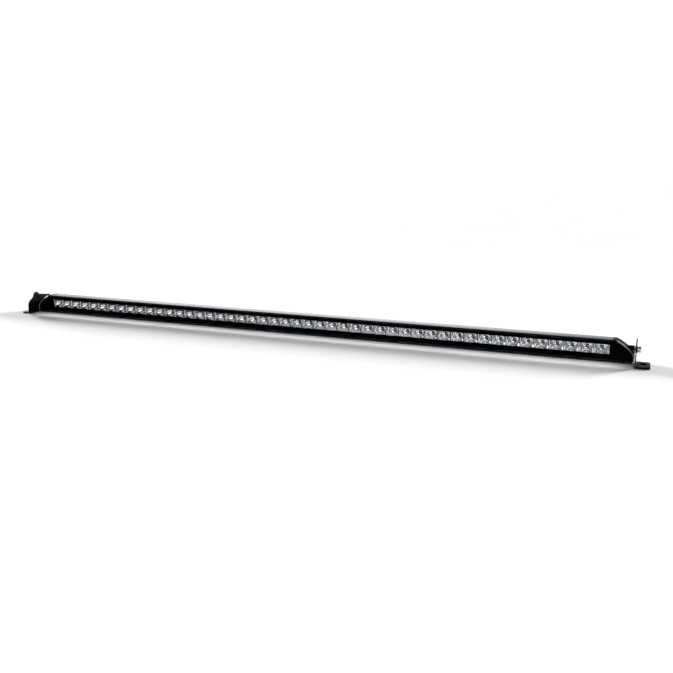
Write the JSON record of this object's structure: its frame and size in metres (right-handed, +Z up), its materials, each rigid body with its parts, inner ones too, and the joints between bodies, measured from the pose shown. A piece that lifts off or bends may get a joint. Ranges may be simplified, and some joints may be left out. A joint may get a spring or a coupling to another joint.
{
  "type": "led light bar",
  "caption": "Slim, full-width LED light bar with a single row of square reflectors behind a flush lens, held by a bent bracket at each end that it tilts in.",
  "frame": {"origin": "on the mounting surface, midway between the feet and midway between the front and rear edges of the brackets' upright plates", "axes": "+X along the bar, +Y from the lens to the cooling fins (the light shines towards -Y), +Z up from the mounting surface"},
  "size_m": [1.333, 0.07, 0.0465],
  "materials": {
    "black_coat": "satin black powder coat on extruded and cast aluminium",
    "clear_lens": "clear polycarbonate, polished",
    "bezel": "black, semi-gloss",
    "reflector": "vacuum-metallised plastic, mirror bright",
    "led_board": "white solder mask with yellow phosphor chips",
    "driver": "green circuit board with moulded components",
    "thermal_pad": "grey silicone gap pad",
    "rubber": "matt black rubber",
    "bracket": "black powder-coated stainless plate",
    "fastener": "bright stainless steel",
    "nylon": "black moulded nylon",
    "wire_red": "red insulation",
    "wire_black": "black insulation"
  },
  "bodies": {
    "left_mount": {"bracket_left": "bracket", "foot_pad_left": "rubber"},
    "bar": {"board_screw_1a": "fastener", "board_screw_1b": "fastener", "board_screw_2a": "fastener", "board_screw_2b": "fastener", "board_screw_3a": "fastener", "board_screw_3b": "fastener", "board_screw_4a": "fastener", "board_screw_4b": "fastener", "driver_board": "driver", "driver_pad": "thermal_pad", "end_cap_left": "black_coat", "end_cap_right": "black_coat", "end_cap_screw_lower_left": "fastener", "end_cap_screw_lower_right": "fastener", "end_cap_screw_upper_left": "fastener", "end_cap_screw_upper_right": "fastener", "end_gasket_left": "rubber", "end_gasket_right": "rubber", "front_bezel": "bezel", "front_lens": "clear_lens", "gland_body": "nylon", "gland_nut": "nylon", "gland_seal": "rubber", "housing": "black_coat", "inner_lead_black": "wire_black", "inner_lead_red": "wire_red", "led_board_1": "led_board", "led_board_2": "led_board", "led_board_3": "led_board", "led_board_4": "led_board", "lens_seal": "rubber", "lock_washer_left": "fastener", "lock_washer_right": "fastener", "pivot_bolt_left": "fastener", "pivot_bolt_right": "fastener", "pivot_bush_left": "nylon", "pivot_bush_right": "nylon", "pivot_nut_left": "fastener", "pivot_nut_right": "fastener", "pivot_washer_left": "fastener", "pivot_washer_right": "fastener", "reflector_module_1": "reflector", "reflector_module_2": "reflector", "reflector_module_3": "reflector", "reflector_module_4": "reflector", "thermal_pad_1": "thermal_pad", "thermal_pad_2": "thermal_pad", "thermal_pad_3": "thermal_pad", "thermal_pad_4": "thermal_pad", "vent_body": "nylon", "vent_membrane": "thermal_pad"},
    "right_mount": {"bracket_right": "bracket", "foot_pad_right": "rubber"}
  },
  "joints": [
    {"name": "tilt", "type": "hinge", "parent": "left_mount", "child": "bar", "pos_m": [-0.6427, 0.008, 0.024], "axis": [1, 0, 0], "range_deg": [-90, 90]},
    {"name": "right_bracket_pivot", "type": "hinge", "parent": "bar", "child": "right_mount", "pos_m": [0.6427, 0.008, 0.024], "axis": [1, 0, 0], "range_deg": [-90, 90]}
  ],
  "couplings": [
    {"joint": "right_bracket_pivot", "follows": "tilt", "ratio": -1}
  ]
}
